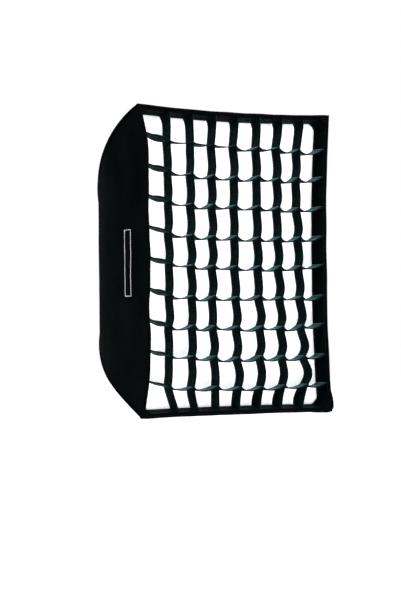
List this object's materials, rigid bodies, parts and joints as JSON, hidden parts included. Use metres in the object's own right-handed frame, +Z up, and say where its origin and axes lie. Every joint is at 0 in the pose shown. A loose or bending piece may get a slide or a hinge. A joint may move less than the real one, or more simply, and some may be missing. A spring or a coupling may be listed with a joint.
{
  "type": "softbox",
  "caption": "Rectangular softbox with bowed rods, black fabric walls, white front diffuser and fabric egg-crate grid, on a turning bayonet speed ring",
  "frame": {"origin": "on the optical axis, at the rear end of the bayonet spigot", "axes": "+Y is the optical axis pointing back to the light, the open front faces -Y, +Z is up along the longer side, +X is across the width"},
  "size_m": [0.601, 0.6, 0.8014],
  "materials": {
    "ring_aluminium": "black anodised, satin",
    "bayonet_metal": "natural anodised, fine turned",
    "socket_brass": "turned",
    "screw_steel": "zinc plated",
    "clip_steel": "stamped",
    "knob_plastic": "fine grain",
    "pad_rubber": "matt",
    "rod_steel": "black coated spring steel",
    "cap_plastic": "moulded",
    "black_nylon": "coated nylon, slight sheen",
    "silver_lining": "crinkled silver coated fabric",
    "white_diffusion": "white ripstop diffusion cloth",
    "black_webbing": "woven tape",
    "hook_and_loop": "hook and loop tape",
    "grid_fabric": "stiff black grid fabric",
    "black_elastic": "ribbed elastic"
  },
  "bodies": {
    "adapter": {"bayonet_adapter": "bayonet_metal"},
    "box": {"speed_ring": "ring_aluminium", "rod_sockets": "socket_brass", "clip_screws": "screw_steel", "rod_1": "rod_steel", "rod_2": "rod_steel", "rod_3": "rod_steel", "rod_4": "rod_steel", "rod_ferrules": "screw_steel", "rod_tip_caps": "cap_plastic", "rod_keeper_loops": "black_webbing", "panel_top": "black_nylon", "panel_bottom": "black_nylon", "panel_right": "black_nylon", "panel_left": "black_nylon", "lining_top": "silver_lining", "lining_bottom": "silver_lining", "lining_right": "silver_lining", "lining_left": "silver_lining", "front_hem": "black_webbing", "corner_pockets": "black_webbing", "lip_loop_tape": "hook_and_loop", "name_patch": "black_webbing", "rear_cuff": "black_elastic", "inner_baffle": "white_diffusion", "baffle_straps": "black_elastic"},
    "clip_1": {"turn_clip_1": "clip_steel"},
    "clip_2": {"turn_clip_2": "clip_steel"},
    "clip_3": {"turn_clip_3": "clip_steel"},
    "clip_4": {"turn_clip_4": "clip_steel"},
    "lock_pad": {"lock_pad": "pad_rubber"},
    "lock_knob": {"lock_knob": "knob_plastic", "lock_screw": "screw_steel"},
    "diffuser": {"front_diffuser": "white_diffusion", "diffuser_hook_band": "hook_and_loop"},
    "grid": {"grid_border": "grid_fabric", "grid_vertical_1": "grid_fabric", "grid_vertical_2": "grid_fabric", "grid_vertical_3": "grid_fabric", "grid_vertical_4": "grid_fabric", "grid_vertical_5": "grid_fabric", "grid_vertical_6": "grid_fabric", "grid_vertical_7": "grid_fabric", "grid_horizontal_1": "grid_fabric", "grid_horizontal_2": "grid_fabric", "grid_horizontal_3": "grid_fabric", "grid_horizontal_4": "grid_fabric", "grid_horizontal_5": "grid_fabric", "grid_horizontal_6": "grid_fabric", "grid_horizontal_7": "grid_fabric", "grid_horizontal_8": "grid_fabric", "grid_horizontal_9": "grid_fabric"}
  },
  "joints": [
    {"name": "box_turn", "type": "hinge", "parent": "adapter", "child": "box", "pos_m": [0, -0.019, 0], "axis": [0, 1, 0], "continuous": true},
    {"name": "clip_1_turn", "type": "hinge", "parent": "box", "child": "clip_1", "pos_m": [0.04879, -0.0127, 0.04879], "axis": [0, 1, 0], "range_deg": [0, 90]},
    {"name": "clip_2_turn", "type": "hinge", "parent": "box", "child": "clip_2", "pos_m": [-0.04879, -0.0127, 0.04879], "axis": [0, 1, 0], "range_deg": [0, 90]},
    {"name": "clip_3_turn", "type": "hinge", "parent": "box", "child": "clip_3", "pos_m": [-0.04879, -0.0127, -0.04879], "axis": [0, 1, 0], "range_deg": [0, 90]},
    {"name": "clip_4_turn", "type": "hinge", "parent": "box", "child": "clip_4", "pos_m": [0.04879, -0.0127, -0.04879], "axis": [0, 1, 0], "range_deg": [0, 90]},
    {"name": "lock_pad_travel", "type": "slide", "parent": "box", "child": "lock_pad", "axis": [0, 0, 1], "range_m": [0, 0.002]},
    {"name": "lock_knob_turn", "type": "hinge", "parent": "lock_pad", "child": "lock_knob", "pos_m": [0, -0.019, 0.09], "axis": [0, 0, 1], "range_deg": [0, 720]},
    {"name": "diffuser_pull", "type": "slide", "parent": "box", "child": "diffuser", "axis": [0, -1, 0], "range_m": [0, 0.12]},
    {"name": "grid_pull", "type": "slide", "parent": "diffuser", "child": "grid", "axis": [0, -1, 0], "range_m": [0, 0.1]}
  ],
  "couplings": [
    {"joint": "lock_pad_travel", "follows": "lock_knob_turn", "m_per_rad": 0.00015915}
  ]
}
